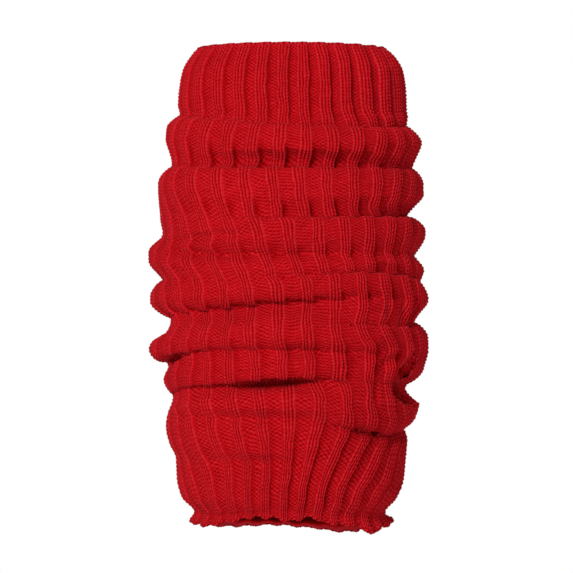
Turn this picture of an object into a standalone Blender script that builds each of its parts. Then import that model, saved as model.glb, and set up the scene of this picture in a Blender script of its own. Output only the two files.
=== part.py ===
"""Rib-knit leg warmer as it sits on a calf: a scrunched tube, open at both ends.

Metres, +Z up. The wearer faces -Y. The origin is on the tube's axis, halfway down the cuff,
where the calf grips it. Lengths in the tables are in millimetres, measured down from the rim.
"""
import math

import bpy

MM = 0.001
TAU = 2.0 * math.pi

# ---- driving dimensions, in millimetres ----
GRIP_BELOW_RIM = 20.0     # the calf grips the cuff here: the part's origin
WALL = 2.8                # the rib knit's thickness
SEAM_GAP = 0.3            # between the nodes
EDGE_HEIGHT = 2.6         # bound-off chain along the rim
EDGE_PROUD = 0.4          # the chain stands out past the cuff
FRILL_HEIGHT = 7.5        # stretched cast-on edge under the ankle band
FRILL_FLARE = 3.6         # how far the frill stands out at its foot
FRILL_WAVE = 1.8          # half the depth of its waves
FRILL_WAVES = 14          # one wave for every second rib
FRILL_CURL = 1.4          # above 1, most of the flare is near the foot
SEGMENTS = 40             # facets round the tube
FRILL_SEGMENTS = 70

KNIT_RED = (0.42, 0.006, 0.010)
EDGE_RED = (0.38, 0.005, 0.009)
KNIT_ROUGHNESS = 0.92
EDGE_ROUGHNESS = 0.90

# Angles round the tube, in degrees: 0 is the front, -90 the left side, 90 the right, 180 the back.
STATIONS = (-90, -60, -30, 0, 30, 60, 90, 135, 180, 225)

# Half sizes of the tube over the crests of its rolls, before the creases are pressed in.
# (below the rim, left, right, front, back)
OUTLINE = (
    (0.0, 52.0, 52.8, 39.0, 39.0),
    (4.0, 55.6, 57.6, 41.0, 41.0),
    (15.0, 62.2, 64.5, 45.0, 45.0),
    (27.0, 64.4, 66.3, 47.0, 47.0),
    (39.0, 65.6, 66.8, 48.5, 48.5),
    (47.5, 71.4, 71.6, 53.0, 53.0),
    (57.0, 72.0, 75.8, 57.0, 57.5),
    (80.0, 76.2, 76.8, 64.0, 64.5),
    (107.0, 75.0, 77.8, 68.0, 68.5),
    (119.0, 81.8, 77.2, 69.5, 70.0),
    (146.0, 81.0, 79.2, 71.0, 71.0),
    (176.0, 81.6, 79.2, 71.0, 70.0),
    (187.0, 74.2, 76.6, 69.0, 69.0),
    (212.0, 72.0, 73.4, 66.0, 66.0),
    (222.0, 71.6, 69.0, 64.5, 65.0),
    (230.0, 69.8, 67.2, 63.5, 64.0),
    (239.0, 65.9, 66.2, 61.0, 61.0),
    (252.0, 65.2, 64.8, 59.0, 58.0),
    (261.0, 62.6, 61.6, 56.5, 54.0),
    (270.0, 55.0, 54.6, 52.0, 48.0),
    (290.0, 54.4, 54.2, 51.0, 47.0),
)

# The creases between the rolls, from the cuff down. Each has its reach above and below the line
# and its sharpness (under 1 is crisp, over 1 is a soft trough), then three rows over STATIONS:
# the line's place below the rim, how deep it is pressed in, and its lean. A lean above 0 hangs the
# upper roll's lip over the crease, and one below 0 stands the lower roll's shoulder in front of it.
CREASES = (
    ("under_cuff", 6, 9, 0.75,
     (41.0, 43.0, 45.5, 48.5, 49.8, 49.0, 47.0, 46.0, 44.0, 41.5),
     (2.0, 2.5, 3.0, 4.0, 5.0, 6.0, 4.5, 5.0, 4.0, 2.5),
     (0.0, -0.5, -1.0, -1.5, -2.0, -1.5, 0.0, -1.0, -1.0, -0.5)),
    ("second", 15, 11, 0.80,
     (70.5, 71.4, 73.0, 73.6, 73.4, 72.8, 71.6, 73.0, 75.0, 71.5),
     (7.0, 6.0, 6.5, 8.0, 8.0, 8.0, 6.5, 6.5, 7.5, 6.5),
     (0.0, -1.5, -2.5, -3.0, -3.0, -2.0, 0.0, -1.0, -2.0, 0.0)),
    ("third_right", 10, 8, 0.75,
     (96.0, 98.0, 100.0, 102.0, 101.0, 100.4, 99.2, 101.0, 104.0, 101.0),
     (0.0, 0.0, 1.5, 7.0, 9.0, 10.0, 11.0, 7.0, 4.0, 1.0),
     (0.0, 0.0, 0.0, -2.5, -2.5, -2.0, 0.0, -1.0, -1.0, 0.0)),
    ("third_left", 10, 10, 1.10,
     (111.5, 119.0, 121.5, 121.5, 121.0, 120.5, 122.0, 122.0, 119.0, 112.0),
     (2.5, 4.5, 4.0, 4.5, 3.5, 3.0, 6.5, 4.0, 2.5, 3.0),
     (0.0, 0.0, 0.0, 0.5, 0.0, 0.0, 0.0, 0.0, 0.0, 0.0)),
    ("waist", 11, 9, 0.80,
     (136.0, 136.0, 135.7, 134.6, 132.0, 133.6, 137.8, 139.0, 140.0, 137.0),
     (8.0, 6.0, 5.0, 5.0, 7.0, 6.0, 4.0, 5.5, 7.0, 7.0),
     (0.0, -0.5, -0.5, -1.0, -2.0, -2.0, 0.0, -1.0, -1.0, 0.0)),
    ("upper_lip", 9, 13, 0.85,
     (158.5, 155.2, 151.0, 146.6, 146.4, 147.0, 148.0, 152.0, 157.0, 159.5),
     (12.5, 10.0, 9.0, 9.5, 4.0, 0.0, 0.0, 1.0, 5.0, 10.0),
     (0.0, 2.0, 3.5, 4.0, 1.5, 0.0, 0.0, 0.0, 1.0, 0.5)),
    ("fourth_right", 12, 10, 0.80,
     (167.0, 166.5, 163.0, 159.5, 161.0, 162.8, 160.0, 161.0, 166.0, 168.0),
     (8.5, 3.0, 0.0, 2.5, 8.0, 9.0, 9.0, 7.0, 6.0, 4.0),
     (0.0, 0.0, 0.0, -1.0, -2.5, -2.5, 0.0, -1.0, -1.0, 0.0)),
    ("left_nick", 7, 9, 0.80,
     (183.0, 176.5, 175.0, 174.5, 176.0, 178.0, 179.0, 180.0, 183.0, 185.0),
     (4.0, 8.0, 5.0, 4.0, 3.0, 0.0, 0.0, 0.0, 3.0, 5.0),
     (1.0, 3.0, 1.5, 0.5, 0.0, 0.0, 0.0, 0.0, 0.5, 1.0)),
    ("lower_lip", 10, 10, 0.80,
     (202.4, 197.0, 191.2, 188.2, 193.0, 194.5, 195.8, 199.0, 204.0, 204.0),
     (5.5, 8.0, 10.0, 12.0, 5.0, 3.5, 8.5, 7.0, 7.0, 7.0),
     (0.0, 2.0, 4.0, 5.0, 1.0, 0.0, 0.0, 0.0, 1.0, 0.0)),
    ("ankle", 9, 8, 0.90,
     (213.0, 212.5, 213.0, 214.0, 218.9, 223.4, 220.5, 221.0, 219.0, 215.0),
     (0.8, 2.2, 2.4, 1.5, 5.0, 8.0, 4.5, 4.5, 3.0, 1.5),
     (0.0, 0.0, 0.0, 0.0, 1.5, 2.5, 1.0, 0.5, 0.0, 0.0)),
)
SHOULDER = 1.7            # how round the rolls are where a crease ends
LIP_NEAR = 0.7            # below 1, a leaning lip swells close to its crease
LIP_NARROW = 1.5          # above 1, the swell is narrow

# The ankle band's foot, below the rim, over STATIONS: it hangs lower at the back.
FOOT = (268.0, 268.5, 266.0, 263.0, 264.0, 268.5, 271.0, 275.5, 277.0, 273.0)

# The tube's stretches, each from one line to another. The lines are the rim (0), the creases in
# the order of the table (1 to 10) and the foot (11). Every split lies in a crease.
# (name, first line, last line)
STRETCHES = (
    ("cuff", 0, 1),
    ("first_roll", 1, 2),
    ("upper_folds", 2, 5),
    ("middle_folds", 5, 9),
    ("last_roll", 9, 10),
    ("ankle", 10, 11),
)

# Where the rings lie between one line and the next, as shares of the distance.
CUFF_SHARES = (0.0, 0.12, 0.40, 0.72, 0.93, 1.0)
ROLL_SHARES = (0.0, 0.14, 0.5, 0.86, 1.0)
ANKLE_SHARES = (0.0, 0.10, 0.30, 0.55, 0.78, 0.92, 1.0)
FRILL_SHARES = (0.0, 0.35, 0.7, 1.0)


def eased(places, values, at):
    """The smooth curve through the points, flat at its turns so that it never overshoots."""
    last = len(places) - 1
    at = min(max(at, places[0]), places[last])
    gaps = [places[i + 1] - places[i] for i in range(last)]
    rises = [(values[i + 1] - values[i]) / gaps[i] for i in range(last)]
    slopes = [rises[0]]
    for i in range(1, last):
        slope = 0.0
        if rises[i - 1] * rises[i] > 0:
            before = 2.0 * gaps[i] + gaps[i - 1]
            after = gaps[i] + 2.0 * gaps[i - 1]
            slope = (before + after) / (before / rises[i - 1] + after / rises[i])
        slopes.append(slope)
    slopes.append(rises[-1])
    i = 0
    while i < last - 1 and at > places[i + 1]:
        i += 1
    t = (at - places[i]) / gaps[i]
    start = (1.0 + 2.0 * t) * (1.0 - t) ** 2 * values[i]
    end = t * t * (3.0 - 2.0 * t) * values[i + 1]
    leave = t * (1.0 - t) ** 2 * gaps[i] * slopes[i]
    arrive = t * t * (t - 1.0) * gaps[i] * slopes[i + 1]
    return start + end + leave + arrive


def around(values, degrees):
    """A row of station values read at any angle round the tube."""
    degrees = (degrees - STATIONS[0]) % 360.0 + STATIONS[0]
    places = [place - 360.0 for place in STATIONS[-2:]] + list(STATIONS)
    places += [place + 360.0 for place in STATIONS[:3]]
    looped = list(values[-2:]) + list(values) + list(values[:3])
    return eased(places, looped, degrees)


def half_sizes(below, degrees):
    """The outline's half width and half depth on the side that the angle faces."""
    depths = [row[0] for row in OUTLINE]
    side = 1 if math.sin(math.radians(degrees)) < 0 else 2
    face = 3 if math.cos(math.radians(degrees)) > 0 else 4
    width = eased(depths, [row[side] for row in OUTLINE], below)
    depth = eased(depths, [row[face] for row in OUTLINE], below)
    return width, depth


def creases_at(degrees):
    """Each crease's place, depth and lean at one angle."""
    found = []
    for name, reach_up, reach_down, sharp, places, depths, leans in CREASES:
        place = around(places, degrees)
        depth = around(depths, degrees)
        lean = around(leans, degrees)
        found.append((reach_up, reach_down, sharp, place, depth, lean))
    return found


def knit_point(degrees, below, creases):
    """A point on the outer face of the knit, in metres."""
    width, depth = half_sizes(below, degrees)
    pressed = 0.0
    shift = 0.0
    for reach_up, reach_down, sharp, place, deep, lean in creases:
        away = below - place
        share = abs(away) / (reach_up if away < 0 else reach_down)
        if share >= 1.0:
            continue
        pressed += deep * (1.0 - share ** sharp) ** SHOULDER
        swell = math.sin(math.pi * share ** LIP_NEAR) ** LIP_NARROW
        if away < 0 < lean or lean < 0 <= away:
            shift -= lean * swell
    sine = math.sin(math.radians(degrees))
    cosine = math.cos(math.radians(degrees))
    x = (width - pressed) * sine
    y = -(depth - pressed) * cosine
    z = GRIP_BELOW_RIM - below + shift
    return (x * MM, y * MM, z * MM)


def lines_at(degrees):
    """The rim, the creases and the foot: how far each is below the rim at one angle."""
    lines = [0.0]
    lines += [around(row[4], degrees) for row in CREASES]
    lines.append(around(FOOT, degrees))
    return lines


def material(name, colour, roughness):
    made = bpy.data.materials.new(name)
    made.use_nodes = True
    shader = made.node_tree.nodes["Principled BSDF"]
    shader.inputs["Base Color"].default_value = (*colour, 1.0)
    shader.inputs["Roughness"].default_value = roughness
    shader.inputs["Metallic"].default_value = 0.0
    return made


def open_tube(name, rings, collection, finish, wall):
    """Join rings of points, top to bottom, and give the cloth its thickness inwards."""
    count = len(rings[0])
    points = [point for ring in rings for point in ring]
    faces = []
    for row in range(len(rings) - 1):
        for column in range(count):
            left = row * count + column
            right = row * count + (column + 1) % count
            faces.append((left, left + count, right + count, right))
    mesh = bpy.data.meshes.new(name)
    mesh.from_pydata(points, [], faces)
    mesh.shade_smooth()
    mesh.materials.append(finish)
    piece = bpy.data.objects.new(name, mesh)
    collection.objects.link(piece)
    thickness = piece.modifiers.new("wall", "SOLIDIFY")
    thickness.thickness = wall * MM
    thickness.offset = -1.0
    return piece


def knit_ring(first, share, clear=0.0):
    """One ring of points, a share of the way from one line to the next, moved down by clear."""
    ring = []
    for step in range(SEGMENTS):
        degrees = 360.0 * step / SEGMENTS
        lines = lines_at(degrees)
        below = lines[first] + share * (lines[first + 1] - lines[first]) + clear
        ring.append(knit_point(degrees, below, creases_at(degrees)))
    return ring


def shares_between(first):
    if first == 0:
        return CUFF_SHARES
    if first == len(CREASES):
        return ANKLE_SHARES
    return ROLL_SHARES


def stretch(name, first, last, collection, finish):
    """One stretch of the tube, from its first line to its last, just clear of its neighbours."""
    top_clear = EDGE_HEIGHT + SEAM_GAP if first == 0 else SEAM_GAP / 2
    foot_clear = 0.0 if last > len(CREASES) else SEAM_GAP / 2
    rings = [knit_ring(first, 0.0, top_clear)]
    for line in range(first, last):
        rings += [knit_ring(line, share) for share in shares_between(line)[1:-1]]
        if line + 1 < last:
            rings.append(knit_ring(line, 1.0))
    rings.append(knit_ring(last - 1, 1.0, -foot_clear))
    return open_tube(name, rings, collection, finish, WALL)


def bound_edge(collection, finish):
    """The bound-off chain that finishes the rim."""
    rings = []
    for level in (0.0, 0.5, 1.0):
        ring = []
        for step in range(SEGMENTS):
            degrees = 360.0 * step / SEGMENTS
            x, y, z = knit_point(degrees, level * EDGE_HEIGHT, [])
            proud = EDGE_PROUD * MM * math.sin(math.pi * level)
            x += proud * math.sin(math.radians(degrees))
            y -= proud * math.cos(math.radians(degrees))
            ring.append((x, y, z))
        rings.append(ring)
    return open_tube("bound_edge", rings, collection, finish, WALL)


def frill(collection, finish):
    """The stretched cast-on edge, which stands out in small waves."""
    rings = []
    for share in FRILL_SHARES:
        ring = []
        for step in range(FRILL_SEGMENTS):
            degrees = 360.0 * step / FRILL_SEGMENTS
            foot = around(FOOT, degrees)
            below = foot + SEAM_GAP + share * FRILL_HEIGHT
            x, y, z = knit_point(degrees, below, [])
            wave = math.sin(TAU * FRILL_WAVES * step / FRILL_SEGMENTS)
            out = (FRILL_FLARE + FRILL_WAVE * wave) * share ** FRILL_CURL * MM
            x += out * math.sin(math.radians(degrees))
            y -= out * math.cos(math.radians(degrees))
            ring.append((x, y, z))
        rings.append(ring)
    return open_tube("frill", rings, collection, finish, WALL)


def clear_scene():
    for old in list(bpy.data.objects):
        bpy.data.objects.remove(old, do_unlink=True)


def main():
    clear_scene()
    collection = bpy.data.collections.new("leg_warmer")
    bpy.context.scene.collection.children.link(collection)
    bound_edge(collection, material("bound_edge_red", EDGE_RED, EDGE_ROUGHNESS))
    for name, first, last in STRETCHES:
        finish = material(name + "_red", KNIT_RED, KNIT_ROUGHNESS)
        stretch(name, first, last, collection, finish)
    frill(collection, material("frill_red", EDGE_RED, EDGE_ROUGHNESS))


main()
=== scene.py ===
"""The looks of a scrunched rib-knit leg warmer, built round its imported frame."""
import math

import bpy
import numpy as np
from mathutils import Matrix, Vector


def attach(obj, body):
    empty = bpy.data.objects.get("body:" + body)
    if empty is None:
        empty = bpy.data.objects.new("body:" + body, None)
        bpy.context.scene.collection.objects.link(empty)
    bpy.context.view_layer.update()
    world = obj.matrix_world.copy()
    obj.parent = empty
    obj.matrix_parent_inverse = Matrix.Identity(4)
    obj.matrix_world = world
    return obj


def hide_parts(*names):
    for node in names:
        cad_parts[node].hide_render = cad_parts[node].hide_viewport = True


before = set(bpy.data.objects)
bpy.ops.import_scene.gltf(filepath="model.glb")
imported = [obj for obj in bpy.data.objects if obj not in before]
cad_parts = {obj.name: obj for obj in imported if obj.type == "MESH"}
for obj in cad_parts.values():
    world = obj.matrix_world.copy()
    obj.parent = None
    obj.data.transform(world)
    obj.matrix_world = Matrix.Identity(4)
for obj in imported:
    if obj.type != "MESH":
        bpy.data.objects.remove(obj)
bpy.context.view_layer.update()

MM = 0.001

# ---- the form, as the frame has it: millimetres, measured down from the rim ----
GRIP_BELOW_RIM = 20.0     # the calf grips the cuff here: the origin

# Angles round the tube, in degrees: 0 is the front, -90 the left side, 90 the right, 180 the back.
STATIONS = (-90, -60, -30, 0, 30, 60, 90, 135, 180, 225)

# Half sizes of the tube over the crests of its rolls, before the creases are pressed in.
# (below the rim, left, right, front, back)
OUTLINE = (
    (0.0, 52.0, 52.8, 39.0, 39.0),
    (4.0, 55.6, 57.6, 41.0, 41.0),
    (15.0, 62.2, 64.5, 45.0, 45.0),
    (27.0, 64.4, 66.3, 47.0, 47.0),
    (39.0, 65.6, 66.8, 48.5, 48.5),
    (47.5, 71.4, 71.6, 53.0, 53.0),
    (57.0, 72.0, 75.8, 57.0, 57.5),
    (80.0, 76.2, 76.8, 64.0, 64.5),
    (107.0, 75.0, 77.8, 68.0, 68.5),
    (119.0, 81.8, 77.2, 69.5, 70.0),
    (146.0, 81.0, 79.2, 71.0, 71.0),
    (176.0, 81.6, 79.2, 71.0, 70.0),
    (187.0, 74.2, 76.6, 69.0, 69.0),
    (212.0, 72.0, 73.4, 66.0, 66.0),
    (222.0, 71.6, 69.0, 64.5, 65.0),
    (230.0, 69.8, 67.2, 63.5, 64.0),
    (239.0, 65.9, 66.2, 61.0, 61.0),
    (252.0, 65.2, 64.8, 59.0, 58.0),
    (261.0, 62.6, 61.6, 56.5, 54.0),
    (270.0, 55.0, 54.6, 52.0, 48.0),
    (290.0, 54.4, 54.2, 51.0, 47.0),
)

# The creases between the rolls, from the cuff down. Each has its reach above and below the line
# and its sharpness above and below (under 1 is crisp, over 1 is a soft trough), then three rows
# over STATIONS: the line's place below the rim, how deep it is pressed in, and its lean. A lean
# above 0 hangs the upper roll's lip over the crease, and one below 0 stands the lower roll's
# shoulder in front of it.
CREASES = (
    ("under_cuff", (7, 9), (1.4, 0.7),
     (41.0, 43.0, 45.5, 48.5, 49.8, 49.0, 47.0, 46.0, 44.0, 41.5),
     (2.2, 2.6, 2.4, 2.4, 2.8, 4.0, 4.5, 5.0, 4.0, 2.8),
     (0.0, -1.4, -1.6, -1.6, -1.6, -1.6, 0.0, -1.0, -1.5, -1.0)),
    ("second", (16, 9), (1.7, 0.8),
     (70.5, 71.4, 73.0, 73.6, 73.4, 72.8, 71.6, 73.0, 75.0, 71.5),
     (6.5, 4.5, 4.5, 5.5, 6.0, 7.0, 6.5, 6.5, 7.5, 6.5),
     (0.0, -1.5, -2.5, -3.0, -3.0, -2.0, 0.0, -1.0, -2.0, 0.0)),
    ("third_right", (13, 8), (1.7, 0.75),
     (96.0, 98.0, 100.0, 102.0, 101.0, 100.4, 99.2, 101.0, 104.0, 101.0),
     (0.0, 0.0, 1.0, 3.0, 4.0, 6.5, 11.0, 7.0, 4.0, 1.0),
     (0.0, 0.0, 0.0, -2.5, -2.5, -2.0, 0.0, -1.0, -1.0, 0.0)),
    ("third_left", (12, 9), (1.1, 1.2),
     (111.5, 119.0, 121.5, 121.5, 121.0, 120.5, 122.0, 122.0, 119.0, 112.0),
     (2.5, 4.2, 5.8, 5.4, 4.0, 3.4, 6.5, 4.0, 2.5, 3.0),
     (0.0, 0.0, 0.0, 0.5, 0.0, 0.0, 0.0, 0.0, 0.0, 0.0)),
    ("waist", (11, 9), (1.4, 0.9),
     (136.0, 136.0, 135.7, 134.6, 132.0, 133.6, 137.8, 139.0, 140.0, 137.0),
     (8.0, 3.5, 1.8, 2.8, 3.2, 3.0, 4.0, 5.5, 7.0, 7.0),
     (0.0, -0.5, -0.5, -1.0, -2.0, -2.0, 0.0, -1.0, -1.0, 0.0)),
    ("upper_lip", (10, 13), (1.05, 1.9),
     (158.5, 155.2, 151.0, 146.6, 146.4, 147.0, 148.0, 152.0, 157.0, 159.5),
     (12.5, 6.5, 9.0, 10.0, 3.4, 0.0, 0.0, 1.0, 5.0, 10.0),
     (0.0, 0.8, 3.2, 3.8, 1.0, 0.0, 0.0, 0.0, 1.0, 0.5)),
    ("fourth_right", (12, 9), (1.6, 0.8),
     (167.0, 166.5, 163.0, 159.5, 161.0, 162.8, 160.0, 161.0, 166.0, 168.0),
     (8.5, 2.0, 0.0, 1.2, 2.5, 3.5, 9.0, 7.0, 6.0, 4.0),
     (0.0, 0.0, 0.0, -1.0, -2.5, -2.5, 0.0, -1.0, -1.0, 0.0)),
    ("left_nick", (7, 11), (0.8, 1.8),
     (183.0, 176.5, 175.0, 174.5, 176.0, 178.0, 179.0, 180.0, 183.0, 185.0),
     (5.0, 7.0, 4.2, 4.6, 3.6, 0.0, 0.0, 0.0, 3.0, 5.0),
     (1.5, 3.5, 0.5, 0.0, 0.0, 0.0, 0.0, 0.0, 0.5, 1.0)),
    ("lower_lip", (9, 12), (0.8, 2.4),
     (202.4, 197.0, 191.2, 188.2, 193.0, 194.5, 195.8, 199.0, 204.0, 204.0),
     (5.0, 3.6, 8.2, 10.0, 1.0, 3.5, 9.0, 7.0, 7.0, 7.0),
     (0.0, 1.8, 5.5, 5.5, 0.0, 0.0, 0.0, 0.0, 1.0, 0.0)),
    ("ankle", (9, 8), (0.9, 1.2),
     (213.0, 212.5, 213.0, 214.0, 218.9, 223.4, 220.5, 221.0, 219.0, 215.0),
     (0.8, 2.0, 2.0, 1.2, 4.0, 6.0, 4.5, 4.5, 3.0, 1.5),
     (0.0, 0.0, 0.0, 0.0, 1.5, 2.5, 1.0, 0.5, 0.0, 0.0)),
)
SHOULDER = 1.7            # how round the rolls are where a crease ends
LIP_NEAR = 0.7            # below 1, a leaning lip swells close to its crease
LIP_NARROW = 1.5          # above 1, the swell is narrow

# Smaller folds in the face, softer than the creases, and the pockets where the cloth tucks in.
# (degrees round, below the rim, half its length in degrees, half its width in millimetres,
#  how far it drops over that half length, how deep it is; a ridge is below 0)
FOLDS = (
    (8.0, 69.6, 68.0, 6.8, 0.8, 4.6),
    (-41.0, 112.0, 36.0, 4.4, -3.4, 2.8),
    (-45.0, 121.0, 22.0, 4.0, 2.0, 0.8),
    (45.0, 130.0, 12.0, 4.5, 0.0, 1.8),
    (4.0, 175.5, 9.0, 5.0, 0.5, 2.2),
    (15.0, 181.5, 11.0, 5.5, -1.0, -1.3),
    (-24.0, 176.0, 20.0, 4.0, 0.0, 0.8),
    (48.0, 181.0, 9.0, 5.0, -6.0, 2.6),
    (36.0, 172.0, 9.0, 6.0, -3.0, -1.2),
    (65.0, 154.0, 5.0, 13.0, 0.0, 4.0),
    (60.0, 184.0, 5.0, 8.0, -6.0, 3.5),
    (40.5, 199.5, 3.5, 10.0, 0.0, 2.2),
    (70.0, 201.0, 20.0, 10.5, 3.0, 8.5),
    (55.0, 155.0, 3.5, 12.0, 0.0, 2.0),
    (45.5, 152.0, 3.0, 12.0, 0.0, 1.6),
    (-12.0, 213.0, 42.0, 5.5, 0.0, 2.2),
    (42.0, 221.0, 13.0, 5.0, 2.5, 3.0),
    (-22.0, 238.0, 30.0, 5.5, 0.0, 1.9),
    (130.0, 88.0, 30.0, 6.0, 5.0, 2.0),
    (-140.0, 92.0, 26.0, 5.0, -4.0, 1.8),
    (165.0, 150.0, 34.0, 6.0, 6.0, 2.2),
    (-120.0, 190.0, 24.0, 5.0, 4.0, 1.6),
    (140.0, 212.0, 26.0, 6.0, -4.0, 2.0),
    (-170.0, 232.0, 30.0, 6.0, 3.0, 1.6),
)
POCKETS = (
    (69.0, 200.5, 13.0, 5.8, 4.0, 11.5),
    (-10.0, 193.2, 20.0, 4.0, -1.6, 8.0),
    (-68.0, 180.0, 11.0, 3.5, -1.0, 6.0),
    (62.0, 186.5, 6.0, 6.0, -4.0, 4.0),
)
FOLD_SOFTNESS = 1.6       # above 1, a fold's sides shelve in gently
POCKET_SOFTNESS = 0.7     # below 1, a pocket's sides are steep

# The ankle band's foot, below the rim, over STATIONS: it hangs lower at the back.
FOOT = (268.0, 268.5, 266.0, 263.0, 264.0, 268.5, 271.0, 275.5, 277.0, 273.0)
FOOT_ABOUT = 268.0        # before a rib's angle there is known
PAST_FOOT = 12.0          # the line after the foot is so far below it

# The hem's cast-on edge: how far below the rim it hangs and how far it flares out.
# (degrees round, below the rim, flare)
HEM = (
    (-90.0, 274.6, 2.6),
    (-64.0, 275.2, 2.6),
    (-40.0, 272.4, 1.6),
    (-25.0, 269.6, 1.4),
    (-12.0, 269.2, 1.6),
    (-2.0, 270.6, 2.2),
    (11.0, 268.9, 1.2),
    (21.0, 272.2, 2.4),
    (32.0, 273.8, 1.8),
    (44.0, 275.4, 2.2),
    (55.0, 279.4, 4.4),
    (63.0, 277.0, 3.0),
    (76.0, 276.2, 3.4),
    (90.0, 274.4, 4.2),
    (112.0, 278.0, 2.4),
    (135.0, 283.6, 1.6),
    (151.0, 284.4, 1.8),
    (168.0, 282.6, 2.4),
    (186.0, 281.4, 1.6),
    (203.0, 281.2, 2.2),
    (221.0, 281.4, 1.6),
    (246.0, 277.4, 2.6),
)
HEM_COURSES = 4
HEM_ABOUT = 10.0          # its length, before a rib's angle there is known
HEM_LEAST = 1.6           # it is nowhere shorter than this
FLARE_LATE = 2.2          # above 1, most of the flare is near the edge
SCALLOP_OUT = 0.6         # the ribs' ends stand out and hang lower along the edge
SCALLOP_DROP = 0.5

# The edges' chains of bound-off loops, in millimetres.
# (half its thickness, half its height, how far its middle is above the cloth's end)
RIM_EDGE = (1.25, 1.15, 0.5)
HEM_EDGE = (1.15, 0.95, -0.3)
RIM_START = 1.9           # where the ribs begin, under the rim's chain
CHAIN_RELIEF = 0.12       # how far the loops and the groove shape it, of its half thickness
LOOP_SWELL = 0.6          # the loops' part of that
GROOVE_CUT = 0.7          # the part of the groove along its middle
GROOVE_WIDTH = 0.4        # how far round the chain the groove reaches, in radians
CHAIN_SLIM = 0.15         # and how much slimmer the whole is
LOOP_SLANT = 0.30         # how far a loop leans along the chain, in loops to a radian
CHAIN_DARK = 0.30         # painted shade on the chain halfway up a loop
LOOP_LIGHT = 0.35         # how much less on its crown, as a painted highlight
GROOVE_DARK = 0.5         # and how much more so in the groove
CHAIN_COLUMNS = 8         # mesh columns to a loop
CHAIN_ROWS = 14           # mesh rows round the chain

# The yarn's colour, from a painted highlight on a stitch's crown (0) down to the painted shade in
# the gap beside it (1): the two ends first, then the tones between them.
RED_TONES = (
    (0.0, (0.440, 0.0175, 0.0260)),
    (1.0, (0.070, 0.0000, 0.0000)),
    (0.16, (0.422, 0.0045, 0.0092)),
    (0.55, (0.265, 0.0002, 0.0010)),
)
TENSION_TONE = 0.07       # how far a stitch's own tension moves it along those tones
FIBRE_TONE = 0.06         # and how far stray fibres do
DYE_TONE = 0.05           # how unevenly the dye takes, as a share of the colour's brightness
YARN_LOOK = (
    ("Roughness", 0.88),
    ("Specular IOR Level", 0.02),
    ("Sheen Weight", 0.03),
    ("Sheen Roughness", 0.45),
    ("Sheen Tint", (1.0, 0.35, 0.33, 1.0)),
)
TENSION_GRAIN = (1.7, 0.9, 1.0)        # spots to a wale and to a course
PLY_GRAIN = (1.0, 0.7, 1.0)            # the plies' slant, across and along
PLY_WAVES, PLY_LOOSE = 1.6, 0.8        # how close the plies wind, and how unevenly
# (spots to about a metre, how many finer ones are added)
FIBRE_GRAIN = (1500.0, 3.0)
DYE_GRAIN = (28.0, 2.0)
FUZZ_GRAIN = (900.0, 4.0)
GRAIN_ENDS = (0.25, 0.75)              # most of a grain's values lie between these
PLY_HEIGHT = 0.25                      # of the plies over the fuzz, either way
BUMP_STRENGTH = 0.5
BUMP_DEPTH = 0.0002                    # in metres

# ---- the studio, in metres ----
CAMERA_DISTANCE = 1.6
SENSOR_WIDTH = 36.0       # in millimetres, as a camera's sensor is stated
FRAME_WIDTH = 0.3323      # what the picture spans at the tube's axis
FRAME_MIDDLE = (-0.0023, -0.1195)      # its middle, to the right and up
LIGHT_AIM = (0.0, 0.0, -0.12)
# (name, place, across, watts)
LIGHTS = (
    ("key", (-0.98, -2.11, 1.00), 0.9, 53.5),
    ("low_fill", (0.45, -1.7, -0.85), 1.2, 13.0),
)
ROOM_LIGHT = 0.46         # how bright the white surroundings light the cloth
ROOM_SEEN = 1.0           # and how bright the lens sees them
FLOOR_SIZE = 3.0
FLOOR_HEIGHT = -0.75
FLOOR_PALE = (0.85, 0.85, 0.84, 1.0)

# ---- how the ribs run ----
# The two tables below run down the tube by its crease lines: 0 is the rim, 1 to 10 the creases
# in order, 11 the foot, with fractions between.

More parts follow.
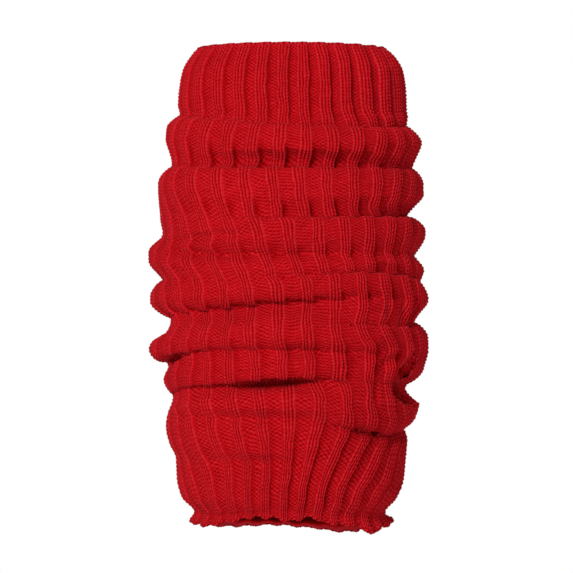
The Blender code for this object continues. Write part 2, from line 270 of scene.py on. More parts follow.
# How far the ribs have slipped round the tube, in rib pitches, where the cloth is twisted.
# (line, at -60, at -36, at -12, at 12, at 36, at 60 degrees, at the back)
SLIP_STATIONS = (-60, -36, -12, 12, 36, 60, 180)
SLIP = (
    (0.00, -0.75, -0.48, -0.33, -0.43, -0.40, -0.05, -0.40),
    (0.60, -0.68, -0.47, -0.36, -0.43, -0.50, -0.33, -0.45),
    (0.99, -0.50, -0.33, -0.25, -0.40, -0.34, -0.29, -0.38),
    (1.05, -0.60, -0.50, -0.38, -0.38, -0.30, -0.26, -0.42),
    (1.40, -0.80, -0.60, -0.45, -0.41, -0.30, -0.26, -0.46),
    (1.985, -0.72, -0.62, -0.53, -0.49, -0.46, -0.40, -0.50),
    (2.05, -1.10, -0.85, -0.68, -0.72, -0.68, -0.45, -0.62),
    (2.45, -1.05, -0.74, -0.57, -0.67, -0.74, -0.80, -0.62),
    (2.70, -0.85, -0.62, -0.55, -0.58, -0.76, -0.95, -0.58),
    (2.96, -0.60, -0.46, -0.52, -0.49, -0.52, -0.50, -0.50),
    (3.08, -0.50, -0.34, -0.32, -0.10, -0.08, -0.05, -0.28),
    (3.60, -0.20, -0.10, -0.05, -0.05, -0.12, -0.30, -0.12),
    (4.00, -0.12, 0.02, 0.06, 0.00, -0.14, -0.32, -0.05),
    (4.60, 0.10, 0.36, 0.28, 0.14, -0.09, -0.18, 0.08),
    (4.92, 0.30, 0.50, 0.33, 0.24, 0.04, 0.02, 0.22),
    (5.08, 0.42, 0.58, 0.42, 0.46, 0.45, 0.58, 0.46),
    (5.50, 0.90, 0.78, 0.56, 0.53, 0.46, 0.61, 0.52),
    (6.00, 0.98, 0.80, 0.63, 0.56, 0.52, 0.66, 0.58),
    (6.60, 1.05, 0.85, 0.62, 0.54, 0.56, 0.72, 0.62),
    (7.20, 1.08, 0.82, 0.57, 0.56, 0.57, 0.72, 0.64),
    (7.80, 1.12, 0.84, 0.64, 0.58, 0.76, 0.80, 0.72),
    (8.30, 1.15, 0.95, 0.78, 0.62, 0.87, 0.84, 0.76),
    (8.94, 0.85, 0.86, 0.78, 0.64, 0.98, 0.90, 0.76),
    (9.06, 0.55, 0.78, 0.82, 0.86, 1.05, 1.05, 0.78),
    (9.50, 0.42, 0.72, 0.85, 1.03, 1.12, 1.20, 0.82),
    (9.90, 0.48, 0.78, 0.89, 1.05, 1.24, 1.42, 0.88),
    (10.06, 0.62, 0.86, 0.92, 1.00, 1.18, 1.34, 0.90),
    (10.20, 0.72, 0.92, 0.98, 0.87, 0.90, 0.92, 0.88),
    (10.40, 0.88, 1.16, 1.04, 0.70, 0.63, 0.76, 0.84),
    (10.60, 1.10, 1.40, 1.03, 0.48, 0.30, 0.50, 0.80),
    (10.80, 1.32, 1.38, 0.92, 0.31, 0.00, 0.05, 0.74),
    (11.10, 1.10, 1.10, 0.78, 0.26, -0.02, 0.00, 0.68),
)

# Half the height from a rib's top to the ground between ribs, in millimetres.
# (line, left, front left, front right, right, back)
HEIGHT_STATIONS = (-80, -35, 20, 65, 180)
RIB_HEIGHTS = (
    (0.00, 0.15, 0.20, 0.20, 0.25, 0.20),
    (0.25, 0.40, 0.70, 0.90, 1.80, 0.65),
    (0.85, 0.40, 0.70, 0.90, 1.65, 0.65),
    (1.00, 0.25, 0.30, 0.30, 0.50, 0.40),
    (1.30, 0.15, 0.20, 0.26, 0.45, 0.35),
    (1.78, 0.50, 1.20, 1.45, 1.80, 1.10),
    (1.92, 0.40, 0.90, 1.00, 1.20, 0.80),
    (2.06, 0.30, 0.30, 0.30, 0.40, 0.30),
    (2.50, 0.08, 0.10, 0.18, 0.38, 0.35),
    (2.84, 0.20, 0.70, 1.30, 1.90, 0.90),
    (3.06, 0.12, 0.18, 0.22, 0.40, 0.35),
    (3.50, 0.08, 0.12, 0.18, 0.42, 0.45),
    (3.95, 0.20, 0.55, 0.60, 1.10, 0.50),
    (4.30, 0.10, 0.16, 0.28, 0.80, 0.50),
    (4.85, 0.12, 0.20, 0.38, 0.85, 0.60),
    (5.04, 0.15, 0.20, 0.25, 0.40, 0.30),
    (5.50, 0.10, 0.14, 0.26, 0.95, 0.50),
    (5.92, 0.40, 1.00, 1.20, 1.50, 0.60),
    (6.06, 0.15, 0.15, 0.20, 0.60, 0.35),
    (7.10, 0.08, 0.14, 0.20, 0.45, 0.40),
    (7.90, 0.20, 0.50, 0.50, 1.30, 0.55),
    (8.50, 0.20, 0.35, 0.60, 1.50, 0.60),
    (8.94, 0.25, 0.40, 0.50, 0.90, 0.50),
    (9.06, 0.15, 0.20, 0.25, 0.45, 0.35),
    (9.50, 0.10, 0.18, 0.24, 0.50, 0.45),
    (9.95, 0.12, 0.22, 0.40, 0.90, 0.50),
    (10.10, 0.14, 0.25, 0.55, 1.20, 0.60),
    (10.60, 0.16, 0.34, 0.95, 1.25, 0.70),
    (10.90, 0.20, 0.40, 1.00, 1.20, 0.70),
    (11.10, 0.20, 0.35, 0.60, 0.90, 0.40),
    (11.60, 0.05, 0.15, 0.30, 0.50, 0.20),
)

# ---- the knit ----
RIBS = 28                 # two knit wales and two purl wales to each
COURSES = 149
TIGHT_COURSES = 115       # the courses sit closer together above the ankle
TIGHT_SHARE = 0.74        # of the tube's length, which those courses take up
ROWS = 4                  # mesh rows to a course
# How wide a rib is, in millimetres, down the tube. (below the rim, width)
RIB_WIDTHS = ((0.0, 7.2), (60.0, 7.4), (150.0, 7.4), (230.0, 6.6), (270.0, 5.8))
RIB_SHARE = (0.36, 0.64)  # the least and the most of its pitch that a rib takes up
# Where the ribs draw together, the ground's outer wales turn in behind them.
CLOSED_UP = (0.5, 16.0, 12.4)  # how far, and the rib pitches where it starts and is full
RIB_TOP = 0.25            # a rib's top stands this share of its height outside the form
LEG_HEIGHT = 0.44         # how far a knit stitch's legs stand over the gaps, in millimetres
LEG_SLANT = 1.1           # how steeply its legs lean, in courses to a wale
SLANT_HEIGHT = 0.26       # the waves that the slanting legs make down a wale
GAP_DASH = 0.55           # how deep the gaps stay between the stitches' pits
BUMP_HEIGHT = 0.42        # a purl stitch's bump
YARN_THICKNESS = 2.1      # through the cloth
RIM_FADE = 1.5            # the stitches' relief grows in over so many courses under the rim

# Painted shade: how dark each spot is painted, standing in for the shade in the gaps between
# stitches and beside the ribs, which the yarn's colour follows.
GAP_DARK = 0.84           # between a knit stitch's legs
LEG_DARK = 0.09           # at the low end of each leg
BUMP_DARK = (0.02, 0.88)  # on a purl bump, and how much more between the bumps
DOT_EVEN = 0.76           # how alike the dots between the bumps are
SHADE_FULL = 1.3          # a rib's shade is as dark as its height is a share of this,
SHADE_MOST = 0.8          # and no darker than this
# Painted shade on the cloth's plain back, inside the tube, darker further in from an open edge.
# (courses in from an open edge, how dark)
BACK_SHADE = ((0.0, 0.00), (1.0, 0.08), (2.2, 1.00), (4.0, 1.20))

# What hand and machine leave uneven: how far it strays, its humps down and round, and its seed.
RIB_STRAY = (0.55, (18, 28), 7)        # whole ribs to the side, in degrees
WALE_STRAY = (0.42, (60, 112), 8)      # single wales to the side, in degrees
COURSE_STRAY = (0.35, (50, 84), 3)     # stitches up and down, in courses
LEG_STRAY = (0.12, (90, 224), 4)       # their legs to the side, in wales
TENSION_STRAY = (0.50, (120, 112), 5)  # how high they stand
HEM_STRAY = (0.6, (2, 40), 11)         # how low the ribs' ends hang, of their scallops

# One rib's mesh columns, from its left edge: its place in wales, where that is in its own stitch,
# the rib's height there (1 on top, -1 on the ground), how much of a leg, a gap between legs and a
# purl bump it is, and how much painted shade the rib throws on it.
RIB_COLUMNS = (
    (0.00, 0.50, -0.55, 0.0, 0.40, 0.4, 0.05),
    (0.15, 0.15, -0.20, 0.8, 0.00, 0.0, 0.00),
    (0.31, 0.31, 0.12, 1.0, 0.00, 0.0, 0.00),
    (0.50, 0.50, 0.32, 0.0, 1.00, 0.0, 0.00),
    (0.69, 0.69, 0.48, 1.0, 0.00, 0.0, 0.00),
    (0.81, 0.81, 0.58, 1.0, 0.00, 0.0, 0.00),
    (1.00, 0.00, 0.68, 0.0, 1.00, 0.0, 0.00),
    (1.19, 0.19, 0.80, 1.0, 0.00, 0.0, 0.00),
    (1.31, 0.31, 0.86, 1.0, 0.00, 0.0, 0.00),
    (1.50, 0.50, 0.92, 0.0, 1.00, 0.0, 0.00),
    (1.69, 0.69, 1.00, 1.0, 0.00, 0.0, 0.00),
    (1.84, 0.84, 0.84, 0.8, 0.00, 0.0, 0.00),
    (2.00, 0.25, -0.35, 0.0, 0.15, 0.2, 0.40),
    (2.18, 0.50, -1.00, 0.0, 0.00, 0.8, 0.60),
    (2.38, 0.75, -0.94, 0.0, 0.00, 0.9, 0.46),
    (2.60, 0.00, -0.86, 0.0, 0.00, 1.0, 0.26),
    (2.82, 0.25, -0.78, 0.0, 0.00, 1.0, 0.13),
    (3.04, 0.50, -0.71, 0.0, 0.00, 1.0, 0.05),
    (3.26, 0.75, -0.66, 0.0, 0.00, 1.0, 0.00),
    (3.50, 0.00, -0.62, 0.0, 0.00, 1.0, 0.00),
    (3.76, 0.25, -0.58, 0.0, 0.00, 1.0, 0.00),
)
RIB_WALES = 4
WALES = RIB_WALES * RIBS
COLUMNS = RIBS * len(RIB_COLUMNS)

# (piece, node it stands for, first course, last course, how it is held, and how far round and
#  how long its cloth is, in millimetres)
STRETCHES = (
    ("knit_cuff", "cuff", 0, 23, "stretched", 346.0, 45.7),
    ("knit_first_roll", "first_roll", 23, 39, "gathered", 403.0, 31.6),
    ("knit_second_roll", "upper_folds", 39, 57, "gathered", 439.0, 35.7),
    ("knit_third_roll", "upper_folds", 57, 77, "gathered", 462.0, 39.3),
    ("knit_middle_fold", "middle_folds", 77, 96, "gathered", 462.0, 37.3),
    ("knit_lower_fold", "middle_folds", 96, 116, "gathered", 458.0, 39.3),
    ("knit_last_roll", "last_roll", 116, 129, "gathered", 425.0, 30.3),
    ("knit_ankle", "ankle", 129, COURSES, "stretched", 380.0, 48.7),
)

# How finely the form is worked out.
LEVELS = np.arange(0.0, 301.0)          # depths below the rim, a millimetre apart
TURN = np.arange(-180.0, 181.0, 2.0)    # angles round the tube
LINE_STEP = 0.01                        # between one crease line's fractions and the next
ROUND_STEPS = 720                       # steps round the tube that measure its girth
SHARE_STEPS = 1440                      # shares of the way round that are looked up
DOWN_STEPS = 900                        # steps down a wale that measure its length
FORM_SMOOTH = 10                        # levels over which the girth is smoothed
COURSE_SMOOTH = 30                      # mesh rows over which the courses change their spacing
NEARBY = 0.3                            # how far apart points are that give a slope
LEAST_OUT = 0.1                         # a normal less outward than this gives way to the form's
SLIP_ROUNDS = 3                         # times that a rib's angle and slip are matched
HEM_ROUNDS = 2                          # times that the hem's angles and depths are


def eased(places, values, at):
    """The smooth curve through the points, flat at its turns so that it never overshoots."""
    places = np.asarray(places, float)
    values = np.asarray(values, float)
    gaps = np.diff(places)
    rises = np.diff(values) / gaps
    slopes = np.zeros(len(values))
    slopes[0], slopes[-1] = rises[0], rises[-1]
    for i in range(1, len(places) - 1):
        if rises[i - 1] * rises[i] > 0:
            before = 2.0 * gaps[i] + gaps[i - 1]
            after = gaps[i] + 2.0 * gaps[i - 1]
            slopes[i] = (before + after) / (before / rises[i - 1] + after / rises[i])
    at = np.clip(at, places[0], places[-1])
    i = np.clip(np.searchsorted(places, at) - 1, 0, len(places) - 2)
    t = (at - places[i]) / gaps[i]
    start = (1.0 + 2.0 * t) * (1.0 - t) ** 2 * values[i]
    end = t * t * (3.0 - 2.0 * t) * values[i + 1]
    leave = t * (1.0 - t) ** 2 * gaps[i] * slopes[i]
    arrive = t * t * (t - 1.0) * gaps[i] * slopes[i + 1]
    return start + end + leave + arrive


def turned(degrees):
    """Any angle as one from -180 to 180."""
    return (degrees + 180.0) % 360.0 - 180.0


def ring_of(stations, values):
    """A row of station values read all round the tube, at each angle of TURN."""
    first = stations[0]
    looped = [place - 360.0 for place in stations] + list(stations)
    looped += [place + 360.0 for place in stations]
    return eased(looped, list(values) * 3, (TURN - first) % 360.0 + first)


def around(values, degrees):
    """A row of STATIONS values read at an array of angles."""
    return np.interp(turned(degrees), TURN, ring_of(STATIONS, values))


def sheet_of(stations, rows):
    """A table of rows, each its line and its station values, read every LINE_STEP and TURN."""
    lines = np.arange(0.0, rows[-1][0] + LINE_STEP, LINE_STEP)
    places = [row[0] for row in rows]
    columns = [eased(places, [row[1 + k] for row in rows], lines) for k in range(len(stations))]
    return np.stack([ring_of(stations, values) for values in zip(*columns)])


def read_sheet(sheet, line, degrees):
    """A sheet's value at any line and angle, given as arrays of one shape."""
    level = np.clip(line / LINE_STEP, 0.0, len(sheet) - 1.001)
    step = (turned(degrees) + 180.0) / (TURN[1] - TURN[0])
    row = level.astype(int)
    column = np.minimum(step.astype(int), len(TURN) - 2)
    down, across = level - row, step - column
    top = sheet[row, column] * (1 - across) + sheet[row, column + 1] * across
    foot = sheet[row + 1, column] * (1 - across) + sheet[row + 1, column + 1] * across
    return top * (1 - down) + foot * down


def line_at(below, degrees):
    """Which crease line lies at a depth, with the fraction of the way on to the next."""
    marks = [np.zeros_like(below)] + [around(row[3], degrees) for row in CREASES]
    marks.append(around(FOOT, degrees))
    marks.append(marks[-1] + PAST_FOOT)
    return sum(np.clip((below - above) / (after - above), 0.0, 1.0)
               for above, after in zip(marks, marks[1:]))


def cloth_point(degrees, below):
    """Points on the middle of the knit's face, in millimetres, for arrays of angle and depth."""
    depths = [row[0] for row in OUTLINE]
    left, right, front, back = (
        np.interp(below, LEVELS, eased(depths, [row[k] for row in OUTLINE], LEVELS))
        for k in (1, 2, 3, 4))
    sine = np.sin(np.radians(degrees))
    cosine = np.cos(np.radians(degrees))
    width = np.where(sine < 0, left, right)
    depth = np.where(cosine > 0, front, back)
    pressed = folded(degrees, below)
    shift = np.zeros_like(below)
    for name, reach, sharp, places, depths_in, leans in CREASES:
        away = below - around(places, degrees)
        share = np.minimum(np.abs(away) / np.where(away < 0, *reach), 1.0)
        bite = (1.0 - share ** np.where(away < 0, *sharp)) ** SHOULDER
        pressed += around(depths_in, degrees) * bite
        lean = around(leans, degrees)
        swell = np.sin(math.pi * share ** LIP_NEAR).clip(0.0) ** LIP_NARROW
        leaning = ((away < 0) & (lean > 0)) | ((away >= 0) & (lean < 0))
        shift -= np.where(leaning, lean * swell, 0.0)
    x = (width - pressed) * sine
    y = -(depth - pressed) * cosine
    z = GRIP_BELOW_RIM - below + shift
    return np.stack([x, y, z], -1)


def folded(degrees, below):
    """How far in the smaller folds and the pockets press the cloth, in millimetres."""
    pressed = np.zeros_like(below)
    for table, softness in ((FOLDS, FOLD_SOFTNESS), (POCKETS, POCKET_SOFTNESS)):
        for middle, place, length, width, drop, depth in table:
            along = turned(degrees - middle) / length
            away = (below - place - drop * along) / width
            reach = np.clip(1.0 - along ** 2 - away ** 2, 0.0, 1.0)
            pressed += depth * reach ** softness
    return pressed


def girth_tables():
    """The angle at each share of the way round the tube, by its own length, and the girth, at
    each of LEVELS."""
    degrees = np.linspace(-180.0, 180.0, ROUND_STEPS + 1)
    grid_degrees, grid_below = np.meshgrid(degrees, LEVELS)
    point = cloth_point(grid_degrees, grid_below)
    step = np.linalg.norm(np.diff(point[..., :2], axis=1), axis=-1)
    along = np.concatenate([np.zeros((len(LEVELS), 1)), np.cumsum(step, 1)], 1)
    along -= along[:, ROUND_STEPS // 2][:, None]
    length = along[:, -1] - along[:, 0]
    share = smoothed(along / length[:, None], FORM_SMOOTH)
    places = np.linspace(-0.5, 0.5, SHARE_STEPS + 1)
    three_turns = np.concatenate([degrees[:-1] - 360.0, degrees, degrees[1:] + 360.0])
    angle = np.stack([
        np.interp(places, np.concatenate([row[:-1] - 1.0, row, row[1:] + 1.0]), three_turns)
        for row in share])
    return angle, smoothed(length[:, None], FORM_SMOOTH)[:, 0]


def smoothed(rows, reach):
    """A table smoothed over its rows."""
    weights = np.hanning(2 * reach + 3)[1:-1]
    weights /= weights.sum()
    padded = np.pad(rows, ((reach, reach), (0, 0)), mode="reflect", reflect_type="odd")
    return np.stack([np.convolve(column, weights, "valid") for column in padded.T], 1)


def angle_at(table, share, below):
    """The angle at a share round the tube, for arrays of one shape."""
    spot = ((share + 0.5) % 1.0) * (table.shape[1] - 1)
    level = np.clip(below, 0.0, LEVELS[-1] - 0.001)
    row = level.astype(int)
    column = np.minimum(spot.astype(int), table.shape[1] - 2)
    down, across = level - row, spot - column
    top = table[row, column] * (1 - across) + table[row, column + 1] * across
    foot = table[row + 1, column] * (1 - across) + table[row + 1, column + 1] * across
    return top * (1 - down) + foot * down


def stray(shape, reach, humps, seed):
    """A smooth random sheet, closed round the tube: how far it goes, and its humps each way."""
    points = np.random.RandomState(seed).uniform(-1.0, 1.0, humps)
    rows = np.linspace(0.0, humps[0] - 1.001, shape[0])
    columns = np.arange(shape[1]) * humps[1] / shape[1]
    row, column = rows.astype(int), columns.astype(int)
    down = rows - row
    down = (down * down * (3 - 2 * down))[:, None]
    across = columns - column
    across = (across * across * (3 - 2 * across))[None, :]
    after = (column + 1) % humps[1]
    top = points[row][:, column] * (1 - across) + points[row][:, after] * across
    foot = points[row + 1][:, column] * (1 - across) + points[row + 1][:, after] * across
    return reach * (top * (1 - down) + foot * down)


def column_angles(below):
    """Each column's angle at its own depth, for rows of depths."""
    part = np.array(RIB_COLUMNS)
    place = np.tile(part[:, 0], RIBS)
    rib = np.repeat(np.arange(RIBS), len(RIB_COLUMNS)) - RIBS // 2
    pitch = np.interp(below, LEVELS, girth) / RIBS
    widths = np.interp(below, *zip(*RIB_WIDTHS))
    knit = np.clip(widths / pitch, *RIB_SHARE)
    most, loose, drawn = CLOSED_UP
    closed = most * np.clip((loose - pitch) / (loose - drawn), 0.0, 1.0)
    ground = place / 2.0 - 1.0
    ground = ground - closed * np.sin(2.0 * math.pi * ground) / (2.0 * math.pi)
    across = np.where(place <= 2.0, place / 2.0 * knit, knit + ground * (1 - knit))
    share = (rib + across - knit / 2) / RIBS
    angle = share * 360.0
    for turn in range(SLIP_ROUNDS):
        slipped = read_sheet(slips, line_at(below, angle), angle) / RIBS
        angle = angle_at(ring_angles, share + slipped, below)
    return angle


def outward(angle, below):
    """The form's outward ways at arrays of angle and depth."""
    down = cloth_point(angle, below + NEARBY) - cloth_point(angle, below - NEARBY)
    right = cloth_point(angle + NEARBY, below) - cloth_point(angle - NEARBY, below)
    normal = np.cross(down, right)
    return normal / np.maximum(np.linalg.norm(normal, axis=-1, keepdims=True), 1e-9)


def lay_knit():
    """The middle of the knit's face at every row and column, with its outward way, angle, depth
    and course."""
    foot = around(FOOT, column_angles(np.full((1, COLUMNS), FOOT_ABOUT)))[0]
    below = RIM_START + np.linspace(0.0, 1.0, DOWN_STEPS)[:, None] * (foot - RIM_START)
    angle = column_angles(below)[:-1]
    run = np.linalg.norm(cloth_point(angle, below[1:]) - cloth_point(angle, below[:-1]), axis=-1)
    along = np.concatenate([np.zeros((1, COLUMNS)), np.cumsum(run, 0)], 0)
    along /= along[-1]
    course = np.linspace(0.0, COURSES, COURSES * ROWS + 1)
    want = np.interp(course, (0.0, TIGHT_COURSES, COURSES), (0.0, TIGHT_SHARE, 1.0))
    want = smoothed(want[:, None], COURSE_SMOOTH)[:, 0]
    below = np.stack([np.interp(want, along[:, j], below[:, j]) for j in range(COLUMNS)], 1)
    angle = column_angles(below)
    angle = angle + stray(angle.shape, *RIB_STRAY)
    angle = angle + stray(angle.shape, *WALE_STRAY)
    return cloth_point(angle, below), outward(angle, below), angle, below, course


def lay_hem(foot, last_angle):
    """The same for the frilled hem, from just under the ankle's foot to the cast-on edge."""
    steps = np.linspace(0.0, 1.0, HEM_COURSES * ROWS + 1)[:, None]
    spots = [row[0] for row in HEM]
    rib_wave = np.cos(2.0 * math.pi * (wale - 1.0) / RIB_WALES)
    rib_wave = rib_wave + stray((2, COLUMNS), *HEM_STRAY)[0]
    below = np.repeat(foot[None, :] + HEM_ABOUT, len(steps), 0)
    for turn in range(HEM_ROUNDS):
        angle = column_angles(below)
        edge = np.interp(turned(angle), TURN, ring_of(spots, [row[1] for row in HEM]))
        length = edge - HEM_EDGE[1] + SCALLOP_DROP * rib_wave - foot
        below = foot + np.maximum(length, HEM_LEAST) * steps
    angle = column_angles(below) + last_angle - column_angles(below[:1])
    point = cloth_point(angle, below)
    sideways = facing(point) * (1.0, 1.0, 0.0)
    sideways /= np.linalg.norm(sideways, axis=-1, keepdims=True)
    flare = np.interp(turned(angle), TURN, ring_of(spots, [row[2] for row in HEM]))
    point += sideways * ((flare + SCALLOP_OUT * rib_wave) * steps ** FLARE_LATE)[..., None]
    return (point[1:], facing(point)[1:], angle[1:], below[1:],
            COURSES + HEM_COURSES * steps[1:, 0])


def facing(point, looped=False):
    """Outward ways of a grid of points that closes on itself from column to column."""
    down = np.gradient(point, axis=0)
    if looped:
        down = (np.roll(point, -1, axis=0) - np.roll(point, 1, axis=0)) / 2
    right = (np.roll(point, -1, axis=1) - np.roll(point, 1, axis=1)) / 2
    normal = np.cross(down, right)
    return normal / np.maximum(np.linalg.norm(normal, axis=-1, keepdims=True), 1e-9)


def stitch_relief(course, rib_height):
    """The ribs' heights, the stitches' heights on them, and how much painted shade each spot gets.
    """
    part = np.array(RIB_COLUMNS)
    stitch, body, leg, gap, bump, shade = (np.tile(part[:, k], RIBS)[None, :]
                                           for k in range(1, 7))
    shape = rib_height.shape
    v = course[:, None] + stray(shape, *COURSE_STRAY)
    u = (stitch + stray(shape, *LEG_STRAY)) % 1.0
    ribs = rib_height * (body - 1.0 + RIB_TOP)
    slant = np.cos(2.0 * math.pi * (v + LEG_SLANT * np.abs(u - 0.5)))
    pit = 0.5 + 0.5 * np.cos(2.0 * math.pi * (v + 0.5 * (stitch == 0.0)))
    wave = np.cos(2.0 * math.pi * v) * np.cos(2.0 * math.pi * u)
    uneven = 1.0 + stray(shape, *TENSION_STRAY)
    pit = GAP_DASH + (1.0 - GAP_DASH) * pit * uneven
    low = 0.5 - 0.5 * wave
    stitches = (LEG_HEIGHT * (leg - gap * pit) + SLANT_HEIGHT * leg * slant * uneven
                + BUMP_HEIGHT * uneven * bump * wave)
    stitches *= np.clip(course / RIM_FADE, 0.0, 1.0)[:, None]
    dot = low ** 2 * (DOT_EVEN + (1.0 - DOT_EVEN) * uneven)
    # painted shade: darker in the gaps between the legs, between the purl bumps and beside the
    # ribs
    painted_shade = (GAP_DARK * gap * pit + bump * (BUMP_DARK[0] + BUMP_DARK[1] * dot)
              + LEG_DARK * leg * (1.0 - slant))
    painted_shade += shade * np.minimum(rib_height / SHADE_FULL, SHADE_MOST)
    return ribs, stitches, painted_shade


def ring_mesh(name, point, normal, across, along, painted_shade):
    """A closed ring from rows round its wall and columns round the tube, both looped.

    It keeps each spot's wale and course as its UV map and its painted shade as an attribute."""
    rows, columns = point.shape[:2]
    row = np.arange(rows)[:, None]
    column = np.arange(columns)[None, :]
    below = (row + 1) % rows
    right = (column + 1) % columns
    corner = np.stack([row * columns + column, below * columns + column,
                       below * columns + right, row * columns + right], -1).reshape(-1, 4)
    mesh = bpy.data.meshes.new(name)
    mesh.from_pydata((point * MM).reshape(-1, 3).tolist(), [], corner.tolist())
    across_right = np.where(column + 1 == columns, across[:, :1] + WALES, np.roll(across, -1, 1))
    along_below = np.roll(along, -1, 0)
    spots = np.stack([
        np.stack([across, along], -1),
        np.stack([np.roll(across, -1, 0), along_below], -1),
        np.stack([np.roll(across_right, -1, 0), along_below], -1),
        np.stack([across_right, along], -1)], 2)
    layer = mesh.uv_layers.new(name="stitches")
    layer.data.foreach_set("uv", spots.astype(np.float32).ravel())
    # the painted shade goes on the mesh as a point attribute
    painted_dark = mesh.attributes.new("painted_shade", "FLOAT", "POINT")
    painted_dark.data.foreach_set("value", painted_shade.astype(np.float32).ravel())
    mesh.shade_smooth()
    mesh.normals_split_custom_set_from_vertices(normal.reshape(-1, 3).tolist())
    piece = bpy.data.objects.new(name, mesh)
    bpy.context.scene.collection.objects.link(piece)
    return piece


def sleeve(name, knit, first, last):
    """A closed sleeve of the knit from one course to another: its face, then its back."""
    face, back, face_out, back_out, across, along, painted_shade = knit
    rows = slice(first * ROWS, last * ROWS + 1)
    under = slice(first, last + 1)
    point = np.concatenate([face[rows], back[under][::-1]], 0)
    normal = np.concatenate([face_out[rows], -back_out[under][::-1]], 0)
    wales = np.concatenate([across[rows], across[::ROWS][under][::-1]], 0)
    courses = np.concatenate([along[rows], along[::ROWS][under][::-1]], 0)
    from_rim = np.arange(first, last + 1)
    from_edge = np.minimum(from_rim, COURSES + HEM_COURSES - from_rim)
    # painted shade inside the tube, darker away from the rim and the hem
    shade = np.interp(from_edge, *zip(*BACK_SHADE))[::-1]
    painted_dark = np.concatenate([painted_shade[rows], np.repeat(shade[:, None], COLUMNS, 1)], 0)
    return ring_mesh(name, point, normal, wales, courses, painted_dark)


def knitted(point, out, angle, below, course):
    """Both sides of the knit laid over a sheet of points, with all its stitches."""
    rib_height = read_sheet(rib_heights, line_at(below, angle), angle)
    ribs, stitches, painted_shade = stitch_relief(course, rib_height)
    face = point + out * (ribs + stitches)[..., None]
    back = (point + out * (ribs - YARN_THICKNESS)[..., None])[::ROWS]
    across = np.broadcast_to(wale, face.shape[:2])
    along = np.broadcast_to(course[:, None], face.shape[:2])
    return face, back, kept_out(facing(face), out), facing(back), across, along, painted_shade


def kept_out(normal, out):
    """Normals, with the form's own where slipped cloth would turn them away from it."""
    turned_in = np.sum(normal * out, -1, keepdims=True) < LEAST_OUT
    return np.where(turned_in, out, normal)


def chain(name, outside, inside, edge):
    """A chain of loops bound off along an edge, from the cloth's two sides at that edge."""
    thick, high, rise = edge
    spots = np.arange(WALES * CHAIN_COLUMNS) / CHAIN_COLUMNS
    stitch = np.append(wale, WALES)
    centre = (outside + inside) / 2
    way = outside - inside
    way[:, 2] = 0.0
    way /= np.linalg.norm(way, axis=-1, keepdims=True)
    looped = [np.append(values, values[:1], 0) for values in (centre, way)]
    centre, way = (np.stack([np.interp(spots, stitch, values[:, k]) for k in range(3)], -1)
                   for values in looped)
    turn = np.linspace(0.0, 2.0 * math.pi, CHAIN_ROWS, endpoint=False)[:, None]
    from_top = np.abs(turn - 1.5 * math.pi) if rise > 0 else np.abs(turn - 0.5 * math.pi)
    from_top = np.minimum(from_top, 2.0 * math.pi - from_top)
    loops = np.cos(2.0 * math.pi * (spots[None, :] - LOOP_SLANT * from_top))
    groove = np.exp(-(from_top / GROOVE_WIDTH) ** 2)
    swell = 1.0 + CHAIN_RELIEF * (LOOP_SWELL * loops - GROOVE_CUT * groove - CHAIN_SLIM)
    out = np.cos(turn) * thick * swell
    up = -np.sin(turn) * high * swell
    point = centre + way * out[..., None]
    point[..., 2] += rise + up
    # painted shade, deepest in the chain's groove and lightest on the loops' crowns
    painted_shade = np.clip(CHAIN_DARK - LOOP_LIGHT * loops + GROOVE_DARK * groove, 0.0, 1.0)
    along = np.broadcast_to(turn / math.pi, painted_shade.shape)
    return ring_mesh(name, point, facing(point, looped=True),
                     np.broadcast_to(spots, painted_shade.shape), along, painted_shade)


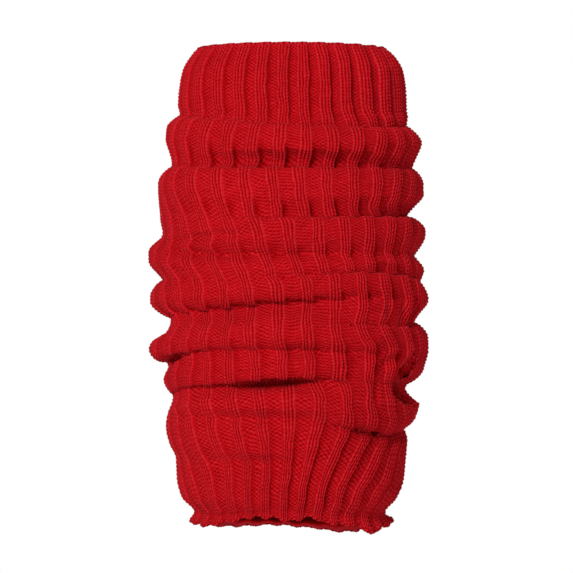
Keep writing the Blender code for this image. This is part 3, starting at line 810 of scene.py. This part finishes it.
def yarn(name, tones, variation):
    """Two-ply acrylic yarn: matt, a little fuzzy, with painted shade in the gaps between the
    stitches and a painted highlight on their crowns.
    """
    made = bpy.data.materials.new(name)
    made.use_nodes = True
    tree = made.node_tree
    shader = tree.nodes["Principled BSDF"]
    for look, value in YARN_LOOK:
        shader.inputs[look].default_value = value

    def node(kind, **settings):
        made_node = tree.nodes.new(kind)
        for key, value in settings.items():
            setattr(made_node, key, value)
        return made_node

    def scaled(source, scale):
        """The same coordinates at another scale."""
        mapping = node("ShaderNodeMapping")
        mapping.inputs["Scale"].default_value = scale
        tree.links.new(source, mapping.inputs["Vector"])
        return mapping.outputs["Vector"]

    def noise(source, scale, detail):
        made_noise = node("ShaderNodeTexNoise")
        made_noise.inputs["Scale"].default_value = scale
        made_noise.inputs["Detail"].default_value = detail
        tree.links.new(source, made_noise.inputs["Vector"])
        return made_noise.outputs["Fac"]

    def ranged(source, low, high):
        spread = node("ShaderNodeMapRange")
        spread.inputs["From Min"].default_value = GRAIN_ENDS[0]
        spread.inputs["From Max"].default_value = GRAIN_ENDS[1]
        spread.inputs["To Min"].default_value = low
        spread.inputs["To Max"].default_value = high
        tree.links.new(source, spread.inputs["Value"])
        return spread.outputs["Result"]

    def joined(kind, one, other):
        sums = node("ShaderNodeMath", operation=kind)
        tree.links.new(one, sums.inputs[0])
        tree.links.new(other, sums.inputs[1])
        return sums.outputs["Value"]

    spots = node("ShaderNodeUVMap", uv_map="stitches").outputs["UV"]
    place = node("ShaderNodeTexCoord").outputs["Object"]
    # the painted shade that each spot carries
    painted_dark = node("ShaderNodeAttribute", attribute_name="painted_shade").outputs["Fac"]

    # how dark: the painted shade in the gaps, loosened by each stitch's own tension and by stray
    # fibres
    tension = noise(scaled(spots, TENSION_GRAIN), 1.0, 1.0)
    fibres = noise(place, *FIBRE_GRAIN)
    depth = joined("ADD", painted_dark, ranged(tension, -variation, variation))
    depth = joined("ADD", depth, ranged(fibres, -FIBRE_TONE, FIBRE_TONE))
    ramp = node("ShaderNodeValToRGB")
    stops = ramp.color_ramp.elements
    for k, (spot, colour) in enumerate(tones):
        stop = stops[k] if k < 2 else stops.new(spot)
        stop.position = spot
        stop.color = (*colour, 1.0)
    tree.links.new(depth, ramp.inputs["Fac"])

    # the dye takes a little unevenly over the tube
    dye = node("ShaderNodeHueSaturation")
    taken = ranged(noise(place, *DYE_GRAIN), 1.0 - DYE_TONE, 1.0 + DYE_TONE)
    tree.links.new(ramp.outputs["Color"], dye.inputs["Color"])
    tree.links.new(taken, dye.inputs["Value"])
    tree.links.new(dye.outputs["Color"], shader.inputs["Base Color"])

    # the plies wind slantwise round the yarn, and fibres stand off it
    ply = node("ShaderNodeTexWave", wave_type="BANDS", bands_direction="DIAGONAL")
    ply.inputs["Scale"].default_value = PLY_WAVES
    ply.inputs["Distortion"].default_value = PLY_LOOSE
    tree.links.new(scaled(spots, PLY_GRAIN), ply.inputs["Vector"])
    plies = ranged(ply.outputs["Fac"], -PLY_HEIGHT, PLY_HEIGHT)
    height = joined("ADD", plies, noise(place, *FUZZ_GRAIN))
    bump = node("ShaderNodeBump")
    bump.inputs["Strength"].default_value = BUMP_STRENGTH
    bump.inputs["Distance"].default_value = BUMP_DEPTH
    tree.links.new(height, bump.inputs["Height"])
    tree.links.new(bump.outputs["Normal"], shader.inputs["Normal"])
    return made


def soft_light(name, place, across, watts):
    light = bpy.data.lights.new(name, "AREA")
    light.shape = "DISK"
    light.size = across
    light.energy = watts
    lamp = bpy.data.objects.new(name, light)
    bpy.context.scene.collection.objects.link(lamp)
    lamp.location = place
    aim = Vector(LIGHT_AIM) - Vector(place)
    lamp.rotation_euler = aim.to_track_quat("-Z", "Y").to_euler()


def studio():
    """White surroundings that the lens sees brighter than they light the cloth, and two lights."""
    world = bpy.data.worlds.new("studio")
    world.use_nodes = True
    tree = world.node_tree
    white = tree.nodes["Background"]
    white.inputs["Color"].default_value = (1.0, 1.0, 1.0, 1.0)
    seen = tree.nodes.new("ShaderNodeLightPath")
    strength = tree.nodes.new("ShaderNodeMapRange")
    strength.inputs["To Min"].default_value = ROOM_LIGHT
    strength.inputs["To Max"].default_value = ROOM_SEEN
    tree.links.new(seen.outputs["Is Camera Ray"], strength.inputs["Value"])
    tree.links.new(strength.outputs["Result"], white.inputs["Strength"])
    bpy.context.scene.world = world
    bpy.context.scene.view_settings.view_transform = "Standard"
    for row in LIGHTS:
        soft_light(*row)


def floor():
    bpy.ops.object.select_all(action="DESELECT")
    bpy.ops.mesh.primitive_plane_add(size=FLOOR_SIZE, location=(0.0, 0.0, FLOOR_HEIGHT))
    ground = bpy.context.active_object
    ground.name = "floor"
    pale = bpy.data.materials.new("pale_floor")
    pale.use_nodes = True
    shader = pale.node_tree.nodes["Principled BSDF"]
    shader.inputs["Base Color"].default_value = FLOOR_PALE
    shader.inputs["Roughness"].default_value = 0.9
    ground.data.materials.append(pale)


def camera():
    lens = bpy.data.cameras.new("camera")
    lens.sensor_width = SENSOR_WIDTH
    lens.lens = SENSOR_WIDTH * CAMERA_DISTANCE / FRAME_WIDTH
    eye = bpy.data.objects.new("camera", lens)
    bpy.context.scene.collection.objects.link(eye)
    eye.location = (FRAME_MIDDLE[0], -CAMERA_DISTANCE, FRAME_MIDDLE[1])
    eye.rotation_euler = (math.pi / 2, 0.0, 0.0)
    bpy.context.scene.camera = eye


camera()
studio()
floor()

# each mesh column's wale, and the tables that lay_knit and lay_hem read
wale = (np.tile([row[0] for row in RIB_COLUMNS], RIBS)
        + RIB_WALES * np.repeat(np.arange(RIBS), len(RIB_COLUMNS)))
ring_angles, girth = girth_tables()
slips = sheet_of(SLIP_STATIONS, SLIP)
rib_heights = sheet_of(HEIGHT_STATIONS, RIB_HEIGHTS)

# the knit in one grid, from the rim to the cast-on edge, then cut into its stretches
tube = lay_knit()
tube_angle, tube_below = tube[2:4]
hem = lay_hem(tube_below[-1], tube_angle[-1])
knit = knitted(*(np.concatenate(halves, 0) for halves in zip(tube, hem)))
face, back = knit[:2]
sleeves = [sleeve(name, knit, first, last) for name, node, first, last, *cloth in STRETCHES]
nodes = [row[1] for row in STRETCHES]
bound_off = chain("bound_off_edge", face[0], back[0], RIM_EDGE)
frill = sleeve("hem_frill", knit, COURSES, COURSES + HEM_COURSES)
cast_on = chain("cast_on_edge", face[-1], back[-1], HEM_EDGE)

red = yarn("red_rib_knit", RED_TONES, TENSION_TONE)
for piece, node in zip(sleeves + [bound_off, frill, cast_on],
                       nodes + ["bound_edge", "frill", "frill"]):
    piece.data.materials.append(red)
    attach(piece, "root")
    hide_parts(node)
